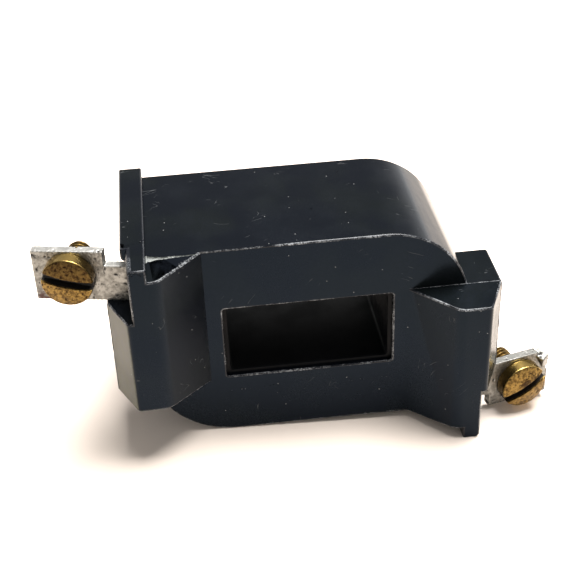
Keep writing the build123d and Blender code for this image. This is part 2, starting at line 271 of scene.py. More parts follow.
class ThreadRecipe(Recipe):
    """A screw's thread: a cylinder whose radius follows the helix."""

    def __init__(self, material: bpy.types.Material) -> None:
        """Build the tree.

        Args:
            material: The screw's finish.
        """
        super().__init__("thread")
        length = self.named("Length", "Float")
        pitch = self.named("Pitch", "Float")
        crest = self.named("Crest Radius", "Float")
        root = self.named("Root Radius", "Float")
        sides = self.named("Sides", "Int")
        rows = self.named("Rows", "Int")
        rod = self.add("GeometryNodeMeshCylinder", fill_type="NGON")
        sizes = (("Vertices", sides), ("Side Segments", rows), ("Radius", crest), ("Depth", length))
        for name, value in sizes:
            self.feed(rod.inputs[name], value)
        place = self.add("ShaderNodeSeparateXYZ")
        self.feed(place.inputs[0], self.add("GeometryNodeInputPosition").outputs[0])
        x, y, z = place.outputs
        turn = self.math("DIVIDE", self.math("ARCTAN2", y, x), math.tau)
        phase = self.math("FRACT", self.math("SUBTRACT", self.math("DIVIDE", z, pitch), turn))
        ridge = self.math("SUBTRACT", 1.0, self.math("ABSOLUTE", self.math("MULTIPLY_ADD", phase, 2.0, -1.0)))
        slope = self.math("MULTIPLY_ADD", ridge, 1.45, -0.2)
        flank = self.math("MINIMUM", self.math("MAXIMUM", slope, 0.0), 1.0)
        radius = self.math("MULTIPLY_ADD", self.math("SUBTRACT", crest, root), flank, root)
        above_tip = self.math("ADD", z, self.math("MULTIPLY", length, 0.5))
        run_out = self.math("MULTIPLY_ADD", above_tip, 0.8, self.math("MULTIPLY", root, 0.94))
        scale = self.math("DIVIDE", self.math("MINIMUM", radius, run_out), crest)
        spread = self.add("ShaderNodeCombineXYZ")
        self.feed(spread.inputs[0], self.math("MULTIPLY", x, scale))
        self.feed(spread.inputs[1], self.math("MULTIPLY", y, scale))
        self.feed(spread.inputs[2], z)
        shape = self.add("GeometryNodeSetPosition")
        self.feed(shape.inputs["Geometry"], rod.outputs["Mesh"])
        self.feed(shape.inputs["Position"], spread.outputs[0])
        self.finish(shape.outputs["Geometry"], material)


class ChipRecipe(Recipe):
    """A run of jagged cutters along a line, which break chips out of an edge."""

    def __init__(self, material: bpy.types.Material) -> None:
        """Build the tree.

        Args:
            material: The finish that the broken surface shows.
        """
        super().__init__("chips")
        start = self.named("Start", "Vector")
        end = self.named("End", "Vector")
        count = self.named("Count", "Int")
        size = self.named("Size", "Float")
        scatter = self.named("Scatter", "Float")
        seed = self.named("Seed", "Int")
        line = self.add("GeometryNodeCurvePrimitiveLine")
        self.feed(line.inputs["Start"], start)
        self.feed(line.inputs["End"], end)
        points = self.add("GeometryNodeCurveToPoints", mode="COUNT")
        self.feed(points.inputs["Curve"], line.outputs["Curve"])
        self.feed(points.inputs["Count"], count)
        wander = self.random("FLOAT_VECTOR", (-1.0,) * 3, (1.0,) * 3, seed)
        spread = self.add("ShaderNodeVectorMath", operation="SCALE")
        self.feed(spread.inputs[0], wander)
        self.feed(spread.inputs["Scale"], scatter)
        moved = self.add("GeometryNodeSetPosition")
        self.feed(moved.inputs["Geometry"], points.outputs["Points"])
        self.feed(moved.inputs["Offset"], spread.outputs[0])
        ball = self.add("GeometryNodeMeshIcoSphere")
        self.feed(ball.inputs["Radius"], 1.0)
        self.feed(ball.inputs["Subdivisions"], 2)
        rough = self.add("GeometryNodeSetPosition")
        jag = self.random("FLOAT_VECTOR", (-0.13,) * 3, (0.13,) * 3, seed)
        self.feed(rough.inputs["Geometry"], ball.outputs["Mesh"])
        self.feed(rough.inputs["Offset"], jag)
        scatter_node = self.add("GeometryNodeInstanceOnPoints")
        self.feed(scatter_node.inputs["Points"], moved.outputs["Geometry"])
        self.feed(scatter_node.inputs["Instance"], rough.outputs["Geometry"])
        turn = self.random("FLOAT_VECTOR", (0.0,) * 3, (math.tau,) * 3, seed)
        self.feed(scatter_node.inputs["Rotation"], turn)
        stretch = self.add("ShaderNodeVectorMath", operation="SCALE")
        self.feed(stretch.inputs[0], self.random("FLOAT_VECTOR", (0.35, 0.3, 0.3), (1.25, 0.8, 0.8), seed))
        self.feed(stretch.inputs["Scale"], size)
        self.feed(scatter_node.inputs["Scale"], stretch.outputs[0])
        self.finish(scatter_node.outputs["Instances"], material)

    def random(self, kind: str, low: Point, high: Point, seed: bpy.types.NodeSocket) -> bpy.types.NodeSocket:
        """Add a seeded Random Value node.

        Args:
            kind: The node's data type.
            low: The lowest value.
            high: The highest value.
            seed: The seed's socket.

        Returns:
            The value's socket.
        """
        node = self.add("FunctionNodeRandomValue", data_type=kind)
        self.feed(node.inputs["Min"], low)
        self.feed(node.inputs["Max"], high)
        self.feed(node.inputs["Seed"], seed)
        return node.outputs["Value"]


class FlashRecipe(Recipe):
    """A thin bead of mould flash that follows a path and swells and fades along it."""

    def __init__(self, material: bpy.types.Material) -> None:
        """Build the tree.

        Args:
            material: The bead's finish.
        """
        super().__init__("mould_flash")
        radius = self.named("Radius", "Float")
        step = self.named("Step", "Float")
        patch = self.named("Patch Length", "Float")
        curve = self.add("GeometryNodeMeshToCurve")
        self.feed(curve.inputs["Mesh"], self.inputs.outputs["Geometry"])
        even = self.add("GeometryNodeResampleCurve", mode="LENGTH")
        self.feed(even.inputs["Curve"], curve.outputs["Curve"])
        self.feed(even.inputs["Length"], step)
        swell = self.add("ShaderNodeTexNoise")
        self.feed(swell.inputs["Scale"], self.math("DIVIDE", 1.0, patch))
        widths = self.add("ShaderNodeMapRange")
        self.feed(widths.inputs["Value"], swell.outputs["Fac"])
        for name, value in (("From Min", 0.35), ("From Max", 0.7), ("To Min", 0.45), ("To Max", 1.4)):
            self.feed(widths.inputs[name], value)
        profile = self.add("GeometryNodeCurvePrimitiveCircle")
        self.feed(profile.inputs["Resolution"], 6)
        self.feed(profile.inputs["Radius"], radius)
        sweep = self.add("GeometryNodeCurveToMesh")
        self.feed(sweep.inputs["Curve"], even.outputs["Curve"])
        self.feed(sweep.inputs["Profile Curve"], profile.outputs["Curve"])
        self.feed(sweep.inputs["Fill Caps"], True)
        if "Scale" in sweep.inputs:
            self.feed(sweep.inputs["Scale"], widths.outputs["Result"])
        self.finish(sweep.outputs["Mesh"], material)


# ----------------------------------------------------------------------- finishes


class Graph(NodeTree):
    """One material's node tree, with short helpers that add nodes and join them."""

    clamped = ("ADD", "MULTIPLY")

    def __init__(self, name: str) -> None:
        """Start an empty material.

        Args:
            name: The finish's name.
        """
        self.material = bpy.data.materials.new(name)
        self.material.use_nodes = True
        self.tree = self.material.node_tree
        self.tree.nodes.clear()
        self.place = self.add("ShaderNodeTexCoord").outputs["Object"]

    def axes(self) -> tuple[bpy.types.NodeSocket, ...]:
        """The object coordinates as three separate sockets."""
        node = self.add("ShaderNodeSeparateXYZ")
        self.feed(node.inputs[0], self.place)
        return tuple(node.outputs)

    def facing(self) -> tuple[bpy.types.NodeSocket, ...]:
        """The surface's own direction, as three separate sockets."""
        node = self.add("ShaderNodeSeparateXYZ")
        self.feed(node.inputs[0], self.add("ShaderNodeTexCoord").outputs["Normal"])
        return tuple(node.outputs)

    def stretched(self, stretch: Point, turn: Point = (0.0, 0.0, 0.0)) -> bpy.types.NodeSocket:
        """Object coordinates, turned and then stretched.

        Args:
            stretch: How much longer features get along each axis.
            turn: Rotation in radians.

        Returns:
            The mapped coordinates.
        """
        node = self.add("ShaderNodeMapping", vector_type="TEXTURE")
        self.feed(node.inputs["Vector"], self.place)
        self.feed(node.inputs["Rotation"], turn)
        self.feed(node.inputs["Scale"], stretch)
        return node.outputs[0]

    def noise(
        self, size: float, detail: float = 4.0, rough: float = 0.55, where=None
    ) -> bpy.types.NodeSocket:
        """Add a Noise texture.

        Args:
            size: The size of its largest features, in metres.
            detail: Octaves of finer detail.
            rough: How strong the finer detail is.
            where: Coordinates, if not the object's own.

        Returns:
            The value's socket.
        """
        node = self.add("ShaderNodeTexNoise")
        self.feed(node.inputs["Vector"], self.place if where is None else where)
        self.feed(node.inputs["Scale"], 1.0 / size)
        self.feed(node.inputs["Detail"], detail)
        self.feed(node.inputs["Roughness"], rough)
        return node.outputs["Fac"]

    def specks(self, spacing: float, size: float, share: float, where=None) -> bpy.types.NodeSocket:
        """Scattered specks, as a mask.

        Args:
            spacing: Distance between cells, in metres.
            size: A speck's radius as a part of the spacing.
            share: The part of the cells that hold a speck.
            where: Coordinates, if not the object's own.

        Returns:
            The mask's socket.
        """
        cells = self.add("ShaderNodeTexVoronoi", feature="F1")
        self.feed(cells.inputs["Vector"], self.place if where is None else where)
        self.feed(cells.inputs["Scale"], 1.0 / spacing)
        pick = self.add("ShaderNodeSeparateColor")
        self.feed(pick.inputs[0], cells.outputs["Color"])
        near = self.between(cells.outputs["Distance"], size, size * 0.6)
        kept = self.math("LESS_THAN", pick.outputs[0], share)
        return self.math("MULTIPLY", near, kept)

    def scratches(self, spacing: float, width: float, stretch: Point, turn: Point) -> bpy.types.NodeSocket:
        """Fine wandering lines, as a mask.

        Args:
            spacing: Rough distance between lines, in metres.
            width: A line's width as a part of the noise's range.
            stretch: How much the lines are drawn out along each axis.
            turn: The lines' rotation in radians.

        Returns:
            The mask's socket.
        """
        field = self.noise(spacing, 1.0, 0.4, self.stretched(stretch, turn))
        off_line = self.math("ABSOLUTE", self.math("SUBTRACT", field, 0.5))
        broken = self.between(self.noise(spacing * 3.1, 3.0), 0.63, 0.70)
        return self.math("MULTIPLY", self.between(off_line, width, width * 0.3), broken)

    def between(self, value, low: float, high: float) -> bpy.types.NodeSocket:
        """A smooth step from 0 at low to 1 at high; low may be above high."""
        node = self.add("ShaderNodeMapRange", interpolation_type="SMOOTHSTEP")
        self.feed(node.inputs["Value"], value)
        flip = low > high
        self.feed(node.inputs["From Min"], high if flip else low)
        self.feed(node.inputs["From Max"], low if flip else high)
        self.feed(node.inputs["To Min"], 1.0 if flip else 0.0)
        self.feed(node.inputs["To Max"], 0.0 if flip else 1.0)
        return node.outputs["Result"]

    def span(self, value, low: float, high: float) -> bpy.types.NodeSocket:
        """Spread a 0 to 1 value between two numbers."""
        node = self.add("ShaderNodeMapRange")
        self.feed(node.inputs["Value"], value)
        self.feed(node.inputs["To Min"], low)
        self.feed(node.inputs["To Max"], high)
        return node.outputs["Result"]

    def blend(self, factor, first, second) -> bpy.types.NodeSocket:
        """Mix two colours by a factor."""
        node = self.add("ShaderNodeMix", data_type="RGBA")
        self.feed(node.inputs["Factor"], factor)
        self.feed(node.inputs[6], first)
        self.feed(node.inputs[7], second)
        return node.outputs[2]

    def attribute(self, name: str) -> bpy.types.NodeSocket:
        """A number stored on the mesh."""
        return self.add("ShaderNodeAttribute", attribute_name=name).outputs["Fac"]

    def relief(self, height, distance: float, strength: float = 1.0, under=None) -> bpy.types.NodeSocket:
        """Add a Bump node.

        Args:
            height: The height's socket.
            distance: The height of a value of 1, in metres.
            strength: How much of it shows.
            under: A coarser bump below this one.

        Returns:
            The normal's socket.
        """
        node = self.add("ShaderNodeBump")
        self.feed(node.inputs["Height"], height)
        self.feed(node.inputs["Distance"], distance)
        self.feed(node.inputs["Strength"], strength)
        if under is not None:
            self.feed(node.inputs["Normal"], under)
        return node.outputs["Normal"]

    def shade(self, **values) -> bpy.types.Material:
        """End the tree in a Principled shader.

        Args:
            **values: Its inputs, with underscores for spaces.

        Returns:
            The finished material.
        """
        shader = self.add("ShaderNodeBsdfPrincipled")
        output = self.add("ShaderNodeOutputMaterial")
        for name, value in values.items():
            self.feed(shader.inputs[name.replace("_", " ")], value)
        self.feed(output.inputs["Surface"], shader.outputs["BSDF"])
        return self.material


@dataclass(frozen=True)
class PottedResin:
    """Glossy black moulded resin with a thin film of handling dust."""

    name: str = "potted_resin"
    deep: Colour = (0.0022, 0.0029, 0.0046)
    hazy: Colour = (0.0044, 0.0053, 0.0072)
    greenish: Colour = (0.0032, 0.0042, 0.0044)
    dust: Colour = (0.42, 0.42, 0.40)
    side_film: Colour = (0.105, 0.102, 0.070)
    sheen: Colour = (0.46, 0.68, 1.0)
    index: float = 1.245
    side_start: float = 28.75 * MM

    def material(self) -> bpy.types.Material:
        """Build the finish."""
        graph = Graph(self.name)
        x, _, _ = graph.axes()
        cloud = graph.between(graph.noise(9 * MM, 5.0, 0.6), 0.38, 0.68)
        tint = graph.between(graph.noise(17 * MM, 3.0), 0.42, 0.62)
        grain = graph.noise(0.42 * MM, 3.0, 0.65)
        lines = graph.scratches(1.6 * MM, 0.012, (34.0, 1.0, 1.0), (0.15, 0.42, 0.3))
        cross_lines = graph.scratches(2.1 * MM, 0.010, (1.0, 1.0, 28.0), (0.35, 0.7, 0.2))
        marks = graph.math("MAXIMUM", lines, cross_lines)
        fine_specks = graph.specks(1.5 * MM, 0.075, 0.28)
        specks = graph.math("MAXIMUM", fine_specks, graph.specks(6.5 * MM, 0.035, 0.35))
        base = graph.blend(tint, self.deep, self.greenish)
        haze = graph.math("MULTIPLY", cloud, graph.between(grain, 0.35, 0.75))
        base = graph.blend(haze, base, self.hazy)
        outside = graph.between(graph.math("ABSOLUTE", x), self.side_start, self.side_start + 0.5 * MM)
        outward = graph.between(graph.math("ABSOLUTE", graph.facing()[0]), 0.55, 0.75)
        rubbed = graph.between(graph.noise(1.3 * MM, 6.0, 0.75), 0.40, 0.60)
        film = graph.math("MULTIPLY", graph.math("MULTIPLY", outside, outward), graph.span(rubbed, 0.45, 0.9))
        film = graph.math("MULTIPLY", film, graph.span(graph.math("GREATER_THAN", x, 0.0), 1.0, 0.3))
        base = graph.blend(film, base, self.side_film)
        base = graph.blend(graph.math("MULTIPLY", marks, 0.10), base, self.dust)
        base = graph.blend(graph.math("MULTIPLY", specks, 0.45), base, self.dust)
        rough = graph.span(cloud, 0.17, 0.25)
        rough = graph.math("ADD", rough, graph.math("MULTIPLY", marks, 0.25))
        rough = graph.math("ADD", rough, graph.math("MULTIPLY", film, 0.3))
        waves = graph.relief(graph.noise(7 * MM, 2.0), 0.05 * MM, 0.5)
        pores = graph.relief(grain, 0.004 * MM, 0.6, waves)
        cut = graph.relief(graph.math("SUBTRACT", 1.0, marks), 0.006 * MM, 0.5, pores)
        return graph.shade(
            Base_Color=base, Roughness=rough, Normal=cut, IOR=self.index, Specular_Tint=self.sheen
        )


@dataclass(frozen=True)
class WornEdge:
    """The resin's rounded edges, rubbed pale where they are handled."""

    name: str = "worn_resin_edge"
    deep: Colour = (0.005, 0.006, 0.009)
    rubbed: Colour = (0.27, 0.28, 0.29)
    index: float = 1.33
    rail_start: float = 18.5 * MM
    front_plane: float = -12.6 * MM

    def material(self) -> bpy.types.Material:
        """Build the finish."""
        graph = Graph(self.name)
        _, y, z = graph.axes()
        patches = graph.between(graph.noise(4.5 * MM, 4.0, 0.6), 0.40, 0.66)
        fine = graph.between(graph.noise(0.28 * MM, 4.0, 0.7), 0.42, 0.60)
        front = graph.span(graph.between(y, self.front_plane + 1.5 * MM, self.front_plane), 0.25, 1.0)
        wear = graph.math("MULTIPLY", graph.math("MULTIPLY", patches, fine), front)
        high = graph.between(graph.math("ABSOLUTE", z), self.rail_start + 0.3 * MM, self.rail_start)
        wear = graph.math("MULTIPLY", wear, graph.span(high, 0.3, 1.0))
        base = graph.blend(wear, self.deep, self.rubbed)
        rough = graph.span(wear, 0.24, 0.62)
        normal = graph.relief(graph.noise(0.2 * MM, 3.0), 0.02 * MM, 0.6)
        return graph.shade(Base_Color=base, Roughness=rough, Normal=normal, IOR=self.index)


@dataclass(frozen=True)
class BrokenResin:
    """Fresh broken resin inside a chip: pale, rough and filled with mineral grains."""

    name: str = "broken_resin"
    pale: Colour = (0.29, 0.30, 0.28)
    grey: Colour = (0.08, 0.084, 0.08)

    def material(self) -> bpy.types.Material:
        """Build the finish."""
        graph = Graph(self.name)
        grains = graph.noise(0.18 * MM, 4.0, 0.7)
        base = graph.blend(graph.between(grains, 0.35, 0.6), self.grey, self.pale)
        normal = graph.relief(grains, 0.03 * MM, 0.7)
        return graph.shade(Base_Color=base, Roughness=0.72, Normal=normal, IOR=1.5)


@dataclass(frozen=True)
class BobbinNylon:
    """Dull black nylon with fine draw marks along the window."""

    name: str = "bobbin_nylon"
    deep: Colour = (0.0010, 0.0012, 0.0018)
    rubbed: Colour = (0.0035, 0.0038, 0.0045)

    def material(self) -> bpy.types.Material:
        """Build the finish."""
        graph = Graph(self.name)
        draw = graph.noise(0.5 * MM, 3.0, 0.6, graph.stretched((1.0, 14.0, 1.0)))
        cloud = graph.between(graph.noise(5 * MM, 4.0), 0.4, 0.65)
        base = graph.blend(graph.math("MULTIPLY", cloud, draw), self.deep, self.rubbed)
        normal = graph.relief(draw, 0.012 * MM, 0.5)
        return graph.shade(Base_Color=base, Roughness=graph.span(cloud, 0.45, 0.6), Normal=normal, IOR=1.18)


@dataclass(frozen=True)
class DullTin:
    """Old tin plating: grey, blotched, with dark pits, a little rust at the edges and a painted highlight on
    the faces that point up.
    """

    name: str = "dull_tin"
    plated: Colour = (0.26, 0.255, 0.235)
    dulled: Colour = (0.150, 0.145, 0.13)
    pit: Colour = (0.018, 0.014, 0.012)
    rust: Colour = (0.085, 0.042, 0.034)
    # Painted highlight colour: laid on the strips' faces that point up, more on the left strip than the
    # right.
    rubbed: Colour = (0.62, 0.60, 0.56)

    def material(self) -> bpy.types.Material:
        """Build the finish."""
        graph = Graph(self.name)
        blotch = graph.between(graph.noise(0.9 * MM, 5.0, 0.65), 0.38, 0.62)
        fine = graph.noise(0.22 * MM, 4.0, 0.7)
        pits = graph.attribute("pit")
        rust = graph.attribute("rust")
        base = graph.blend(blotch, self.dulled, self.plated)
        base = graph.blend(graph.math("MULTIPLY", graph.between(fine, 0.60, 0.72), 0.6), base, self.dulled)
        # Painted highlight: faces that point up are blended towards the pale colour, at 0.8 on the left strip
        # and 0.1 on the right.
        upward_highlight = graph.between(graph.facing()[2], 0.55, 0.92)
        handled = graph.span(graph.math("GREATER_THAN", graph.axes()[0], 0.0), 0.8, 0.1)
        base = graph.blend(graph.math("MULTIPLY", upward_highlight, handled), base, self.rubbed)
        base = graph.blend(rust, base, self.rust)
        base = graph.blend(pits, base, self.pit)
        dirty = graph.math("MAXIMUM", pits, rust)
        metal = graph.span(dirty, 0.92, 0.15)
        rough = graph.math("ADD", graph.span(blotch, 0.46, 0.34), graph.math("MULTIPLY", dirty, 0.35))
        brushed = graph.noise(0.16 * MM, 2.0, 0.5, graph.stretched((7.0, 7.0, 1.0)))
        normal = graph.relief(fine, 0.012 * MM, 0.6, graph.relief(brushed, 0.006 * MM, 0.5))
        return graph.shade(Base_Color=base, Metallic=metal, Roughness=rough, Normal=normal)


@dataclass(frozen=True)
class AgedBrass:
    """Brass that has browned and pitted on its face but is still bright round its rim, where the side that
    faces the block carries a painted reflection of the dark resin.
    """

    name: str = "aged_brass"
    bright: Colour = (0.62, 0.42, 0.13)
    browned: Colour = (0.046, 0.024, 0.008)
    tan: Colour = (0.225, 0.142, 0.042)
    # Dark brown for browning and pits, also used for the painted reflection of the dark block on the head's
    # side that faces it.
    aged: Colour = (0.016, 0.0075, 0.005)
    grime: Colour = (0.010, 0.007, 0.005)

    def material(self) -> bpy.types.Material:
        """Build the finish."""
        graph = Graph(self.name)
        face = graph.attribute("face")
        grime = graph.attribute("grime")
        pits = graph.attribute("pit")
        blotch = graph.between(graph.noise(0.75 * MM, 6.0, 0.8), 0.40, 0.60)
        fine = graph.noise(0.16 * MM, 4.0, 0.7)
        tarnish = graph.blend(blotch, self.browned, self.tan)
        specks = graph.math("MULTIPLY", graph.between(fine, 0.55, 0.7), 0.5)
        tarnish = graph.blend(specks, tarnish, self.browned)
        base = graph.blend(graph.math("MULTIPLY", face, 0.96), self.bright, tarnish)
        # The age attribute holds the face's browning and, on the head's side towards the block, a painted
        # reflection of the dark resin.
        base = graph.blend(graph.math("MULTIPLY", graph.attribute("age"), 0.8), base, self.aged)
        base = graph.blend(graph.math("MULTIPLY", pits, 0.75), base, self.aged)
        base = graph.blend(grime, base, self.grime)
        metal = graph.span(grime, 1.0, 0.1)
        rough = graph.span(face, 0.22, 0.42)
        rough = graph.math("ADD", rough, graph.math("MULTIPLY", graph.math("MAXIMUM", grime, pits), 0.3))
        normal = graph.relief(fine, 0.012 * MM, 0.55)
        return graph.shade(Base_Color=base, Metallic=metal, Roughness=rough, Normal=normal)


@dataclass(frozen=True)
class EnamelledWire:
    """Copper wire under clear amber enamel, seen as fine turns laid round the window."""

    name: str = "enamelled_wire"
    copper: Colour = (0.62, 0.22, 0.08)
    shadow: Colour = (0.12, 0.03, 0.012)
    pitch: float = 0.3 * MM

    def material(self) -> bpy.types.Material:
        """Build the finish."""
        graph = Graph(self.name)
        _, y, _ = graph.axes()
        turns = graph.math("SINE", graph.math("DIVIDE", y, self.pitch / math.tau))
        groove = graph.between(turns, -0.2, -0.9)
        base = graph.blend(groove, self.copper, self.shadow)
        normal = graph.relief(turns, 0.05 * MM, 0.8)
        rough = graph.span(graph.noise(2 * MM), 0.2, 0.4)
        return graph.shade(Base_Color=base, Metallic=0.7, Roughness=rough, Normal=normal)


@dataclass(frozen=True)
class FibreSheet:
    """Paper, tape or braid: two colours crossed by a fine weave."""

    name: str
    light: Colour
    dark: Colour
    thread: float
    roughness: float = 0.8

    def material(self) -> bpy.types.Material:
        """Build the finish."""
        graph = Graph(self.name)
        along = graph.noise(self.thread, 3.0, 0.6, graph.stretched((1.0, 8.0, 1.0)))
        across = graph.noise(self.thread, 3.0, 0.6, graph.stretched((8.0, 1.0, 8.0)))
        weave = graph.math("MULTIPLY", along, graph.math("MULTIPLY", across, 2.0))
        base = graph.blend(graph.between(weave, 0.3, 0.7), self.dark, self.light)
        relief = graph.relief(weave, 0.03 * MM, 0.7)
        return graph.shade(Base_Color=base, Roughness=self.roughness, Normal=relief)


@dataclass(frozen=True)
class DullSolder:
    """Soft solder with a frosted skin."""

    name: str = "dull_solder"
    light: Colour = (0.62, 0.62, 0.64)
    dark: Colour = (0.30, 0.30, 0.32)

    def material(self) -> bpy.types.Material:
        """Build the finish."""
        graph = Graph(self.name)
        frost = graph.noise(0.2 * MM, 4.0, 0.7)
        base = graph.blend(graph.between(frost, 0.4, 0.62), self.dark, self.light)
        rough = graph.span(frost, 0.3, 0.55)
        relief = graph.relief(frost, 0.02 * MM, 0.5)
        return graph.shade(Base_Color=base, Metallic=0.95, Roughness=rough, Normal=relief)


@dataclass(frozen=True)
class PaleTable:
    """A plain white table top."""

    name: str = "pale_table"
    white: Colour = (0.95, 0.83, 0.73)
    warm: Colour = (0.94, 0.81, 0.70)

    def material(self) -> bpy.types.Material:
        """Build the finish."""
        graph = Graph(self.name)
        base = graph.blend(graph.noise(60 * MM, 3.0), self.white, self.warm)
        return graph.shade(Base_Color=base, Roughness=0.65)


# ------------------------------------------------------------------ potted block


@dataclass(frozen=True)
class ChipRun:
    """A line along which the resin has chipped."""

    start: Point
    end: Point
    count: int
    size: float
    scatter: float


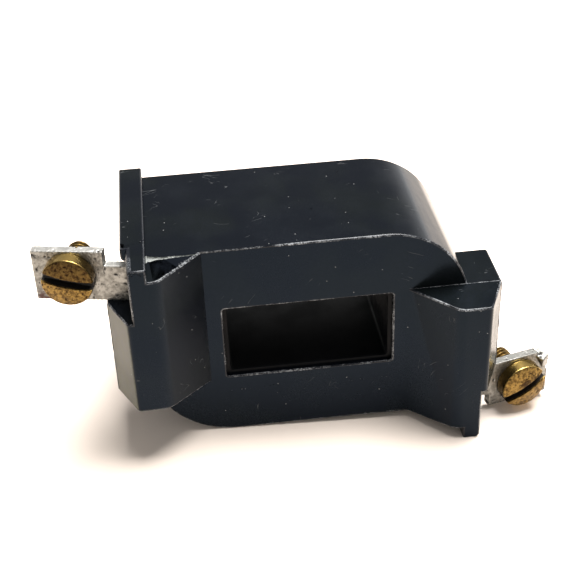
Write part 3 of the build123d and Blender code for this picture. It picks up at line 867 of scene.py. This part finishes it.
@dataclass
class PottedBlock:
    """The moulded resin round the winding, with its terminal lobes, rails and core window.

    The outside is the CAD node's own outside. The pocket round the bobbin is closed off, real
    edges are rounded, and chips are broken out of them.
    """

    node: str = "encapsulation"
    body: str = "coil"
    spool_half: Point = (23.6 * MM, 12.32 * MM, 16.45 * MM)
    lead_pocket_low: Point = (19.0 * MM, -15.2 * MM, -17.7 * MM)
    lead_pocket_high: Point = (28.69 * MM, -11.0 * MM, -10.39 * MM)
    edge_radius: float = 0.28 * MM
    edge_angle: float = 28.0
    front_plane: float = -13.3 * MM
    lobe_front: float = -20.2 * MM
    top: float = 18.4 * MM
    lobe_inner: float = 16.9 * MM
    lobe_side: float = 32.55 * MM
    lobe_top: float = 7.5 * MM
    recess_top: float = -10.4 * MM
    mouth_half_width: float = 14.2 * MM
    mouth_half_height: float = 6.9 * MM
    rail_top: float = 20.25 * MM
    flash_radius: float = 0.085 * MM
    bruise_start: float = -25.55 * MM
    bruise_end: float = -17.0 * MM
    bruise_wide: float = 1.95 * MM
    bruise_narrow: float = 0.26 * MM
    bruise_depth: float = 0.3 * MM
    bruise_steps: int = 34

    def build(self) -> bpy.types.Object:
        """Make the block, break its edges and dress it.

        Returns:
            The finished piece.
        """
        block = object_from_bmesh("potted_block", self.outside())
        block.data.materials.clear()
        for finish in (PottedResin(), WornEdge(), BrokenResin()):
            block.data.materials.append(finish.material())
        self.round_edges(block)
        self.break_chips(block)
        self.even_normals(block)
        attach(block, self.body)
        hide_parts(self.node)
        self.build_flash(block.data.materials[1])
        return block

    def outside(self) -> bmesh.types.BMesh:
        """The block's outer skin with a plain tunnel for the window.

        Returns:
            The closed skin, with flat faces merged.
        """
        bm = merged_copy(self.node)
        sealed = [face for face in bm.faces if self.is_sealed(face.calc_center_median())]
        bmesh.ops.delete(bm, geom=sealed, context="FACES")
        self.keep_outermost(bm)
        open_edges = [edge for edge in bm.edges if edge.is_boundary]
        mouth_edges = [edge for edge in open_edges if all(self.is_in_mouth(v.co) for v in edge.verts)]
        bmesh.ops.bridge_loops(bm, edges=mouth_edges)
        bmesh.ops.holes_fill(bm, edges=[edge for edge in bm.edges if edge.is_boundary], sides=0)
        geometry = bm.verts[:] + bm.edges[:] + bm.faces[:]
        halved = bmesh.ops.bisect_plane(bm, geom=geometry, plane_co=(0, 0, 0), plane_no=(1, 0, 0))
        for item in halved["geom_cut"]:
            if isinstance(item, bmesh.types.BMEdge):
                item.seam = True
        merge_flats(bm)
        for face in bm.faces:
            face.material_index = 0
        self.mark_corners(bm)
        return bm

    def mark_corners(self, bm: bmesh.types.BMesh) -> None:
        """Give every outward corner sharper than the edge angle a bevel weight of 1."""
        weight = bm.edges.layers.float.new("bevel_weight_edge")
        limit = math.radians(self.edge_angle)
        for edge in bm.edges:
            if len(edge.link_faces) == 2 and edge.is_convex and edge.calc_face_angle(0.0) > limit:
                edge[weight] = 1.0

    def is_sealed(self, centre: Vector) -> bool:
        """Whether a face's centre lies in the pocket of the spool or of a lead and its strip."""
        if all(abs(value) < half for value, half in zip(centre, self.spool_half)):
            return True
        sign = 1.0 if centre.x > 0 else -1.0
        turned = (centre.x * sign, centre.y, centre.z * sign)
        return all(
            low < value < high
            for low, value, high in zip(self.lead_pocket_low, turned, self.lead_pocket_high)
        )

    def is_in_mouth(self, point: Vector) -> bool:
        """Whether a point lies on the window's mouth."""
        reach = 0.1 * MM
        return abs(point.x) < self.mouth_half_width + reach and abs(point.z) < self.mouth_half_height + reach

    def keep_outermost(self, bm: bmesh.types.BMesh) -> None:
        """Delete every island but the one that holds the outermost vertex."""
        reached = {max(bm.verts, key=lambda vert: vert.co.x)}
        front = list(reached)
        while front:
            vert = front.pop()
            for edge in vert.link_edges:
                other = edge.other_vert(vert)
                if other not in reached:
                    reached.add(other)
                    front.append(other)
        stray = [vert for vert in bm.verts if vert not in reached]
        bmesh.ops.delete(bm, geom=stray, context="VERTS")

    def round_edges(self, block: bpy.types.Object) -> None:
        """Round every real edge, and give the rounding the worn finish."""
        bevel = block.modifiers.new("round_edges", "BEVEL")
        bevel.width = self.edge_radius
        bevel.segments = 3
        bevel.limit_method = "WEIGHT"
        bevel.use_clamp_overlap = False
        bevel.material = 1
        settle(block)

    def chip_runs(self) -> tuple[ChipRun, ...]:
        """Where the resin has chipped, with the worst damage on the left lobe's top."""
        top, front, lobe_front = self.top, self.front_plane, self.lobe_front
        lip = 0.15 * MM
        return (
            ChipRun(
                (-25.0 * MM, front - 1.4 * MM, top + lip),
                (-21.6 * MM, front - 0.6 * MM, top + lip),
                14, 0.34 * MM, 0.3 * MM,
            ),
            ChipRun(
                (-24.9 * MM, lobe_front + 0.2 * MM, top - 0.4 * MM),
                (-17.2 * MM, front - 0.2 * MM, top - 0.1 * MM),
                34, 0.30 * MM, 0.20 * MM,
            ),
            ChipRun(
                (-29.6 * MM, -13.2 * MM, self.rail_top),
                (-29.4 * MM, -12.3 * MM, self.rail_top),
                6, 0.7 * MM, 0.2 * MM,
            ),
            ChipRun(
                (-26.2 * MM, -11.7 * MM, self.rail_top),
                (-25.7 * MM, -11.0 * MM, self.rail_top),
                3, 0.42 * MM, 0.15 * MM,
            ),
            ChipRun(
                (-28.7 * MM, lobe_front, 19.9 * MM),
                (-25.8 * MM, lobe_front, 19.3 * MM),
                12, 0.26 * MM, 0.25 * MM,
            ),
            ChipRun((-16.6 * MM, front, top), (4.0 * MM, front, top), 44, 0.17 * MM, 0.05 * MM),
            ChipRun((4.0 * MM, front, top), (13.5 * MM, front, top), 10, 0.12 * MM, 0.05 * MM),
            ChipRun(
                (16.9 * MM, front - 0.2 * MM, 7.45 * MM),
                (23.6 * MM, lobe_front + 0.5 * MM, 7.1 * MM),
                26, 0.16 * MM, 0.08 * MM,
            ),
            ChipRun(
                (24.0 * MM, lobe_front, 7.05 * MM),
                (29.0 * MM, lobe_front, 7.05 * MM),
                12, 0.14 * MM, 0.06 * MM,
            ),
            ChipRun((-14.0 * MM, front, -6.9 * MM), (14.0 * MM, front, -6.9 * MM), 34, 0.13 * MM, 0.06 * MM),
            ChipRun((-14.2 * MM, front, -6.6 * MM), (-14.2 * MM, front, 6.6 * MM), 10, 0.13 * MM, 0.05 * MM),
            ChipRun((-13.6 * MM, front, -9.9 * MM), (-5.8 * MM, front, -9.8 * MM), 15, 0.17 * MM, 0.16 * MM),
            ChipRun(
                (-24.1 * MM, lobe_front, 4.0 * MM),
                (-24.1 * MM, lobe_front, -13.0 * MM),
                26, 0.13 * MM, 0.07 * MM,
            ),
            ChipRun((5.8 * MM, front, -10.5 * MM), (14.0 * MM, front, -10.3 * MM), 13, 0.18 * MM, 0.16 * MM),
            ChipRun((8.33 * MM, 8.9 * MM, top), (8.6 * MM, 8.9 * MM, top), 1, 0.34 * MM, 0.02 * MM),
            ChipRun((6.6 * MM, -0.1 * MM, top), (6.8 * MM, 0.0, top), 1, 0.22 * MM, 0.02 * MM),
            ChipRun((2.1 * MM, -3.0 * MM, top), (2.3 * MM, -3.0 * MM, top), 1, 0.32 * MM, 0.02 * MM),
        )

    def break_chips(self, block: bpy.types.Object) -> None:
        """Cut the chips out of the block."""
        recipe = ChipRecipe(block.data.materials[2])
        cutters = []
        for seed, run in enumerate(self.chip_runs()):
            cutter = add_object("chip_cutter", bpy.data.meshes.new("chip_cutter"))
            recipe.run(
                cutter, Start=run.start, End=run.end, Count=run.count, Size=run.size,
                Scatter=run.scatter, Seed=seed,
            )
            cutters.append(cutter)
        cut_away(block, join_meshes("chips", cutters))
        bruise = object_from_bmesh("bruise_cutter", self.bruise_cutter())
        bruise.data.materials.append(block.data.materials[2])
        cut_away(block, bruise)

    def bruise_cutter(self) -> bmesh.types.BMesh:
        """A jagged, tapering bar that takes the long bruise out of the left lobe's top.

        Returns:
            A closed bar, widest next to the rail.
        """
        bm = bmesh.new()
        rings = []
        for step in range(self.bruise_steps + 1):
            along = step / self.bruise_steps
            x = self.bruise_start + (self.bruise_end - self.bruise_start) * along
            width = self.bruise_narrow + (self.bruise_wide - self.bruise_narrow) * (1 - along) ** 2.8
            deep = self.bruise_depth * (0.45 + 0.55 * (1 - along))
            middle = self.front_plane - 0.78 * MM + 0.25 * MM * along
            corners = ((-0.5, 1.0), (0.5, 1.0), (0.42, -1.0), (-0.34, -0.7))
            ring = []
            for number, (across, level) in enumerate(corners):
                jag = noise.noise(Vector((x / MM * 2.3, number * 5.0, 1.5))) * 0.32
                y = middle + width * (across + jag)
                z = self.top + deep * (level + 0.5 * min(jag, 0.0))
                ring.append(bm.verts.new((x, y, z)))
            rings.append(ring)
        for ring, following in zip(rings, rings[1:]):
            for index in range(4):
                after = (index + 1) % 4
                bm.faces.new((ring[index], ring[after], following[after], following[index]))
        bm.faces.new(rings[0])
        bm.faces.new(reversed(rings[-1]))
        bmesh.ops.triangulate(bm, faces=bm.faces)
        bmesh.ops.recalc_face_normals(bm, faces=bm.faces)
        return bm

    def even_normals(self, block: bpy.types.Object) -> None:
        """Shade the rounded edges smooth without bending the flat faces' shading."""
        smooth_by_angle(block, 32.0)
        self.crease_chips(block)
        weights = block.modifiers.new("even_normals", "WEIGHTED_NORMAL")
        weights.keep_sharp = True
        weights.weight = 100
        settle(block)

    def crease_chips(self, block: bpy.types.Object) -> None:
        """Keep the border of every finish sharp, so that the flat face beside it stays flat."""
        bm = bmesh.new()
        bm.from_mesh(block.data)
        for edge in bm.edges:
            if len({face.material_index for face in edge.link_faces}) > 1:
                edge.smooth = False
        bm.to_mesh(block.data)
        bm.free()

    def flash_path(self) -> list[Point]:
        """The mould's parting line over and down the right-hand lobe."""
        y = self.front_plane
        inner, side = self.lobe_inner, self.lobe_side
        return [
            (inner, y, self.lobe_top),
            (side - 0.4 * MM, y, self.lobe_top),
            (side, y, self.lobe_top - 0.4 * MM),
            (side, y, self.recess_top + 0.2 * MM),
        ]

    def build_flash(self, material: bpy.types.Material) -> None:
        """Lay the mould's flash on both lobes.

        Args:
            material: The finish of the bead.
        """
        recipe = FlashRecipe(material)
        for side in Side:
            mesh = bpy.data.meshes.new("parting_flash_" + side.value)
            points = [(x * side.sign, y, z * side.sign) for x, y, z in self.flash_path()]
            mesh.from_pydata(points, [(i, i + 1) for i in range(len(points) - 1)], [])
            bead = add_object(mesh.name, mesh)
            recipe.run(bead, Radius=self.flash_radius, Step=0.35 * MM, Patch_Length=2.5 * MM)
            smooth_by_angle(bead, 60.0)
            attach(bead, self.body)


def join_meshes(name: str, pieces: list[bpy.types.Object]) -> bpy.types.Object:
    """Join plain meshes that share one material into one object and delete them.

    Args:
        name: The joined object's name.
        pieces: What to join.

    Returns:
        The joined object.
    """
    bm = bmesh.new()
    for piece in pieces:
        bm.from_mesh(piece.data)
    joined = object_from_bmesh(name, bm)
    joined.data.materials.append(pieces[0].data.materials[0])
    for piece in pieces:
        bpy.data.objects.remove(piece)
    return joined


def cut_away(piece: bpy.types.Object, cutter: bpy.types.Object) -> None:
    """Subtract a cutter from a piece, give the cut the cutter's finish, and delete the cutter.

    The cut is made at a thousand times the size, because the solver's tolerance is a length.
    """
    for part in (piece, cutter):
        part.data.transform(Matrix.Scale(1 / MM, 4))
    cut = piece.modifiers.new("cut", "BOOLEAN")
    cut.operation = "DIFFERENCE"
    cut.solver = "MANIFOLD"
    cut.use_self = True
    cut.material_mode = "TRANSFER"
    cut.object = cutter
    settle(piece)
    piece.data.transform(Matrix.Scale(MM, 4))
    bpy.data.objects.remove(cutter)


# ---------------------------------------------------------------- core window


@dataclass
class WindowBobbin:
    """The bobbin whose bore lines the core window, with slightly rounded edges."""

    node: str = "bobbin"
    body: str = "coil"
    edge_radius: float = 0.12 * MM

    def build(self) -> bpy.types.Object:
        """Make and dress the bobbin.

        Returns:
            The finished piece.
        """
        bm = merged_copy(self.node)
        merge_flats(bm)
        bobbin = object_from_bmesh("window_bobbin", bm)
        bobbin.data.materials.clear()
        bobbin.data.materials.append(BobbinNylon().material())
        bevel = bobbin.modifiers.new("round_edges", "BEVEL")
        bevel.width = self.edge_radius
        bevel.segments = 2
        bevel.limit_method = "ANGLE"
        bevel.angle_limit = math.radians(30.0)
        bevel.use_clamp_overlap = False
        settle(bobbin)
        smooth_by_angle(bobbin, 35.0)
        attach(bobbin, self.body)
        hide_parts(self.node)
        return bobbin


# -------------------------------------------------------------- terminal strips


@dataclass
class TerminalStrip:
    """One tinned strip, with softened edges, pits and dents in its surface."""

    side: Side
    finish: bpy.types.Material
    body: str = "coil"
    voxel: float = 0.13 * MM
    pit_depth: float = 0.11 * MM
    ripple: float = 0.025 * MM

    def build(self) -> bpy.types.Object:
        """Make and dress the strip.

        Returns:
            The finished piece.
        """
        node = "terminal_strip_" + self.side.value
        strip = object_from_bmesh(node + "_metal", merged_copy(node))
        remesh = strip.modifiers.new("fine_skin", "REMESH")
        remesh.mode = "VOXEL"
        remesh.voxel_size = self.voxel
        settle(strip)
        strip.data.materials.clear()
        strip.data.materials.append(self.finish)
        self.weather(strip)
        strip.data.shade_smooth()
        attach(strip, self.body)
        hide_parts(node)
        return strip

    def weather(self, strip: bpy.types.Object) -> None:
        """Press pits and ripples into the strip and store where its pits and rust are."""
        low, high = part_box("terminal_strip_" + self.side.value)
        seed = Vector((self.side.sign * 3.0, 1.0, 2.0))
        normals = [vert.normal.copy() for vert in strip.data.vertices]
        pits, rusts = [], []
        for vert, normal in zip(strip.data.vertices, normals):
            at = vert.co / MM
            spot = noise.noise(at * 1.15 + seed) + 0.45 * noise.noise(at * 3.1 + seed)
            fine = noise.noise(at * 4.2 - seed)
            pit = max(soft_step(spot, 0.50, 0.70), 0.8 * soft_step(fine, 0.46, 0.62))
            if self.side is Side.LEFT:
                corner = soft_step(vert.co.z, low.z + 2.2 * MM, low.z + 0.6 * MM)
                outer = soft_step(-vert.co.x, -low.x - 3.2 * MM, -low.x - 1.6 * MM)
            else:
                corner = 0.0
                outer = soft_step(abs(vert.co.x), high.x - 3.0 * MM, high.x - 1.0 * MM)
            rust = corner * outer * soft_step(noise.noise(at * 1.6), -0.35, 0.05)
            wave = noise.noise(at * 0.45 + seed) * self.ripple
            vert.co += normal * (wave - pit * self.pit_depth)
            pits.append(pit)
            rusts.append(rust)
        store_value(strip, "pit", pits)
        store_value(strip, "rust", rusts)


# --------------------------------------------------------------- terminal screws


@dataclass
class TerminalScrew:
    """A slotted cheese-head brass screw with a crowned, pitted face and a real thread."""

    side: Side
    finish: bpy.types.Material
    slot_angle: float
    head_radius: float = 4.2 * MM
    head_height: float = 2.4 * MM
    crown: float = 0.75 * MM
    slot_width: float = 1.45 * MM
    slot_depth: float = 1.9 * MM
    slot_offset: float = 0.25 * MM
    strip_thickness: float = 1.6 * MM
    stub: float = 6.2 * MM
    thread_radius: float = 2.05 * MM
    root_radius: float = 1.62 * MM
    pitch: float = 0.794 * MM
    voxel: float = 0.085 * MM
    lathe_sides: int = 96

    def build(self) -> bpy.types.Object:
        """Make the head and the threaded shank, and dress them.

        Returns:
            The head, which stands for the CAD node.
        """
        joint = next(j for j in frame["joints"] if j["name"] == self.side.value + "_screw_turn")
        place = self.placement(Vector(joint["pos_m"]), Vector(joint["axis"]))
        head = self.head()
        head.data.transform(place)
        shank = self.shank()
        shank.data.transform(place)
        node = "terminal_screw_" + self.side.value
        for piece in (head, shank):
            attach(piece, joint["child"])
        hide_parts(node)
        return head

    def placement(self, base: Vector, axis: Vector) -> Matrix:
        """The matrix from the screw's own frame to its place.

        Args:
            base: The middle of the head's underside.
            axis: The way the head faces.

        Returns:
            The placement.
        """
        up = Vector((0.0, 0.0, float(self.side.sign)))
        across = up.cross(axis).normalized()
        turn = Matrix((across, up, axis.normalized())).transposed().to_4x4()
        return Matrix.Translation(base) @ turn

    def head(self) -> bpy.types.Object:
        """The head on its own axis, with its slot cut and its face weathered.

        Returns:
            The head, underside at the origin.
        """
        head = object_from_bmesh("screw_head_" + self.side.value, self.turned_blank())
        cutter = object_from_bmesh("slot_cutter", self.slot_cutter())
        cut_away(head, cutter)
        remesh = head.modifiers.new("fine_skin", "REMESH")
        remesh.mode = "VOXEL"
        remesh.voxel_size = self.voxel
        settle(head)
        head.data.materials.clear()
        head.data.materials.append(self.finish)
        self.weather(head)
        head.data.shade_smooth()
        return head

    def turned_blank(self) -> bmesh.types.BMesh:
        """The head before slotting, as a lathe would turn it.

        Returns:
            A closed solid of revolution.
        """
        ball = (self.head_radius**2 + self.crown**2) / (2 * self.crown)
        outline = [(0.0, 0.0), (self.head_radius - 0.15 * MM, 0.0), (self.head_radius, 0.15 * MM)]
        outline.append((self.head_radius, self.head_height - 0.12 * MM))
        for step in range(12):
            radius = (self.head_radius - 0.1 * MM) * (1 - step / 12)
            rise = math.sqrt(ball**2 - radius**2) - (ball - self.crown)
            outline.append((radius, self.head_height + rise))
        outline.append((0.0, self.head_height + self.crown))
        bm = bmesh.new()
        verts = [bm.verts.new((radius, 0.0, z)) for radius, z in outline]
        edges = [bm.edges.new(pair) for pair in zip(verts, verts[1:])]
        bmesh.ops.spin(
            bm, geom=verts + edges, cent=(0, 0, 0), axis=(0, 0, 1), angle=math.tau, steps=self.lathe_sides
        )
        bmesh.ops.remove_doubles(bm, verts=bm.verts, dist=0.004 * MM)
        bmesh.ops.recalc_face_normals(bm, faces=bm.faces)
        return bm

    def slot_cutter(self) -> bmesh.types.BMesh:
        """The bar that cuts the slot."""
        top = self.head_height + self.crown
        bm = bmesh.new()
        bmesh.ops.create_cube(bm, size=1.0)
        size = (3 * self.head_radius, self.slot_width, self.slot_depth + 1 * MM)
        bmesh.ops.scale(bm, vec=size, verts=bm.verts)
        middle = top - self.slot_depth / 2 + 0.5 * MM
        bmesh.ops.translate(bm, vec=(0.0, -self.slot_offset, middle), verts=bm.verts)
        turn = Matrix.Rotation(math.radians(self.slot_angle), 3, "Z")
        bmesh.ops.rotate(bm, cent=(0, 0, 0), matrix=turn, verts=bm.verts)
        return bm

    def weather(self, head: bpy.types.Object) -> None:
        """Pit the face, ripple the head, and store the masks that the finish reads."""
        unturn = Matrix.Rotation(-math.radians(self.slot_angle), 3, "Z")
        seed = Vector((self.side.sign * 7.0, 4.0, 1.0))
        normals = [vert.normal.copy() for vert in head.data.vertices]
        faces, grimes, pits, age_and_reflection_values = [], [], [], []
        for vert, normal in zip(head.data.vertices, normals):
            at = vert.co / MM
            local = unturn @ vert.co
            from_middle = abs(local.y + self.slot_offset)
            in_slot = from_middle < self.slot_width / 2 + 0.06 * MM
            radius = vert.co.xy.length
            surface = self.head_height + self.crown * (1 - (radius / self.head_radius) ** 2)
            depth = (surface - vert.co.z) / MM
            grime = soft_step(depth, 0.12, 0.55) if in_slot else 0.0
            face = soft_step(vert.co.z / MM, self.head_height / MM - 0.25, self.head_height / MM + 0.05)
            spot = noise.noise(at * 2.3 + seed) + 0.5 * noise.noise(at * 5.5 + seed)
            pit = soft_step(spot, 0.16, 0.62) * face * (1 - grime)
            wave = 0.018 * noise.noise(at * 0.8 - seed)
            fine = 0.022 * noise.noise(at * 5.5) * face
            vert.co += normal * (wave + fine - 0.06 * pit) * MM
            # Painted reflection: the head's side that faces the black block is darkened as if it mirrored the
            # dark resin; it is stored together with the face's browning.
            block_reflection_shade = soft_step(-vert.co.x / self.head_radius, 0.05, 0.75) * (1 - face)
            age_and_reflection_values.append(max(self.age(local / MM, at) * face, 0.95 * block_reflection_shade))
            faces.append(face)
            grimes.append(grime)
            pits.append(pit)
        store_value(head, "face", faces)
        store_value(head, "grime", grimes)
        store_value(head, "age", age_and_reflection_values)
        store_value(head, "pit", pits)

    def age(self, local: Vector, at: Vector) -> float:
        """How brown a point of the face has gone: one half of the left, one patch of the right.

        Args:
            local: The point with its slot along X, in millimetres.
            at: The point on the screw, in millimetres.

        Returns:
            0 for clean brass to 1 for brown.
        """
        ragged = 0.5 * noise.noise(at * 1.3)
        if self.side is Side.LEFT:
            return 0.7 * soft_step(ragged - local.y, 0.1, 1.2)
        reach = math.hypot(local.x - 0.4, (local.y - 1.0) * 1.6) + ragged
        return soft_step(reach, 1.25, 0.75)

    def shank(self) -> bpy.types.Object:
        """The threaded shank on the screw's own axis, from the head's underside to the tip."""
        length = self.strip_thickness + self.stub
        shank = add_object("screw_thread_" + self.side.value, bpy.data.meshes.new("thread"))
        ThreadRecipe(self.finish).run(
            shank, Length=length, Pitch=self.pitch, Crest_Radius=self.thread_radius,
            Root_Radius=self.root_radius, Sides=56, Rows=132,
        )
        shank.data.transform(Matrix.Translation((0.0, 0.0, -length / 2)))
        smooth_by_angle(shank, 70.0)
        store_value(shank, "face", [0.9] * len(shank.data.vertices))
        store_value(shank, "age", [0.35] * len(shank.data.vertices))
        return shank


# ---------------------------------------------------------------- sealed pieces


@dataclass
class SealedWinding:
    """The turns, insulation, leads and joints that the resin holds, dressed where they lie."""

    def build(self) -> None:
        """Give each sealed CAD node its finish."""
        wire = EnamelledWire().material()
        paper = FibreSheet("kraft_paper", (0.55, 0.42, 0.26), (0.38, 0.27, 0.15), 0.3 * MM).material()
        tape = FibreSheet("glass_tape", (0.84, 0.82, 0.75), (0.62, 0.60, 0.52), 0.25 * MM, 0.65).material()
        braid = FibreSheet(
            "varnished_braid", (0.72, 0.62, 0.38), (0.46, 0.36, 0.18), 0.18 * MM, 0.45
        ).material()
        solder = DullSolder().material()
        groups = (
            (wire, ("winding_inner", "winding_middle", "winding_outer", "start_lead", "finish_lead")),
            (paper, ("core_wrap", "interlayer_wrap_inner", "interlayer_wrap_outer")),
            (tape, ("outer_wrap", "wrap_end_tape", "finish_lead_tape")),
            (braid, ("start_lead_sleeve", "finish_lead_sleeve")),
            (solder, ("start_solder_joint", "finish_solder_joint")),
        )
        for material, nodes in groups:
            for node in nodes:
                self.dress(node, material)

    def dress(self, node: str, material: bpy.types.Material) -> None:
        """Assign a finish to a CAD node's material slots."""
        piece = frame["nodes"][node]
        if not piece.material_slots:
            piece.data.materials.append(material)
        for slot in piece.material_slots:
            slot.material = material
        LOG.info("dressed %s", node)


# ------------------------------------------------------------------------ studio


@dataclass
class Studio:
    """A pale table, one large soft light from above, white surroundings and the camera."""

    table_radius: float = 0.5
    foot_x: float = 29.5 * MM
    foot_z: float = -20.25 * MM
    heel_x: float = -13.0 * MM
    heel_z: float = -18.41 * MM
    camera_place: Point = (-19.05 * MM, -174.44 * MM, 119.19 * MM)
    pitch: float = 34.09
    yaw: float = 5.709
    roll: float = -2.202
    lens: float = 74.48
    sensor: float = 36.0
    key_place: Point = (0.14, 0.11, 0.62)
    key_size: float = 0.46
    key_power: float = 12.5

    def build(self) -> None:
        """Set up the table, the lights and the camera."""
        self.lay_table()
        self.hang_lights()
        self.surround()
        self.place_camera()
        bpy.context.scene.view_settings.view_transform = "Standard"

    def lay_table(self) -> None:
        """A flat table that touches the foot rail and the rounded lower left of the block."""
        slope = (self.foot_z - self.heel_z) / (self.foot_x - self.heel_x)
        bm = bmesh.new()
        bmesh.ops.create_circle(bm, cap_ends=True, segments=96, radius=self.table_radius)
        for vert in bm.verts:
            vert.co.z = self.heel_z + slope * (vert.co.x - self.heel_x)
        table = object_from_bmesh("table_top", bm)
        table.data.materials.append(PaleTable().material())

    def hang_lights(self) -> None:
        """One large soft light above the part, a little behind it and to its right."""
        light = bpy.data.lights.new("overhead_softbox", "AREA")
        light.shape = "DISK"
        light.size = self.key_size
        light.energy = self.key_power
        lamp = bpy.data.objects.new("overhead_softbox", light)
        lamp.location = self.key_place
        lamp.rotation_euler = (-Vector(self.key_place)).to_track_quat("-Z", "Y").to_euler()
        bpy.context.scene.collection.objects.link(lamp)

    def surround(self) -> None:
        """White near the horizon, dimmer overhead."""
        world = bpy.data.worlds.new("surroundings")
        bpy.context.scene.world = world
        world.use_nodes = True
        nodes, links = world.node_tree.nodes, world.node_tree.links
        nodes.clear()
        way = nodes.new("ShaderNodeTexCoord")
        split = nodes.new("ShaderNodeSeparateXYZ")
        ramp = nodes.new("ShaderNodeValToRGB")
        background = nodes.new("ShaderNodeBackground")
        output = nodes.new("ShaderNodeOutputWorld")
        stops = ((0.0, 1.5), (0.10, 1.5), (0.30, 0.35), (1.0, 0.34))
        elements = ramp.color_ramp.elements
        while len(elements) < len(stops):
            elements.new(0.5)
        for element, (position, level) in zip(elements, stops):
            element.position = position
            element.color = (level, level, level * 0.99, 1.0)
        links.new(way.outputs["Generated"], split.inputs[0])
        links.new(split.outputs[2], ramp.inputs["Fac"])
        links.new(ramp.outputs["Color"], background.inputs["Color"])
        links.new(background.outputs["Background"], output.inputs["Surface"])

    def place_camera(self) -> None:
        """Aim the camera by its heading, tilt and roll."""
        pitch, yaw, roll = (math.radians(angle) for angle in (self.pitch, self.yaw, self.roll))
        ahead = Vector((math.sin(yaw) * math.cos(pitch), math.cos(yaw) * math.cos(pitch), -math.sin(pitch)))
        right = ahead.cross(Vector((0, 0, 1))).normalized()
        up = right.cross(ahead)
        rolled_right = right * math.cos(roll) + up * math.sin(roll)
        rolled_up = up * math.cos(roll) - right * math.sin(roll)
        turn = Matrix((rolled_right, rolled_up, -ahead)).transposed().to_4x4()
        data = bpy.data.cameras.new("camera")
        data.lens = self.lens
        data.sensor_width = self.sensor
        data.clip_start = 0.01
        camera = bpy.data.objects.new("camera", data)
        camera.matrix_world = Matrix.Translation(self.camera_place) @ turn
        bpy.context.scene.collection.objects.link(camera)
        bpy.context.scene.camera = camera


def main() -> None:
    """Build every sub-assembly and report each piece."""
    logging.basicConfig(level=logging.INFO, format="%(name)s: %(message)s")
    Studio().build()
    LOG.info("studio ready")
    block = PottedBlock().build()
    LOG.info("%s: %d faces", block.name, len(block.data.polygons))
    bobbin = WindowBobbin().build()
    LOG.info("%s: %d faces", bobbin.name, len(bobbin.data.polygons))
    tin = DullTin().material()
    for side in Side:
        strip = TerminalStrip(side, tin).build()
        LOG.info("%s: %d faces", strip.name, len(strip.data.polygons))
    brass = AgedBrass().material()
    for side, slot_angle in ((Side.RIGHT, 26.0), (Side.LEFT, -12.0)):
        screw = TerminalScrew(side, brass, slot_angle).build()
        LOG.info("%s: %d faces", screw.name, len(screw.data.polygons))
    SealedWinding().build()


if __name__ == "__main__":
    main()
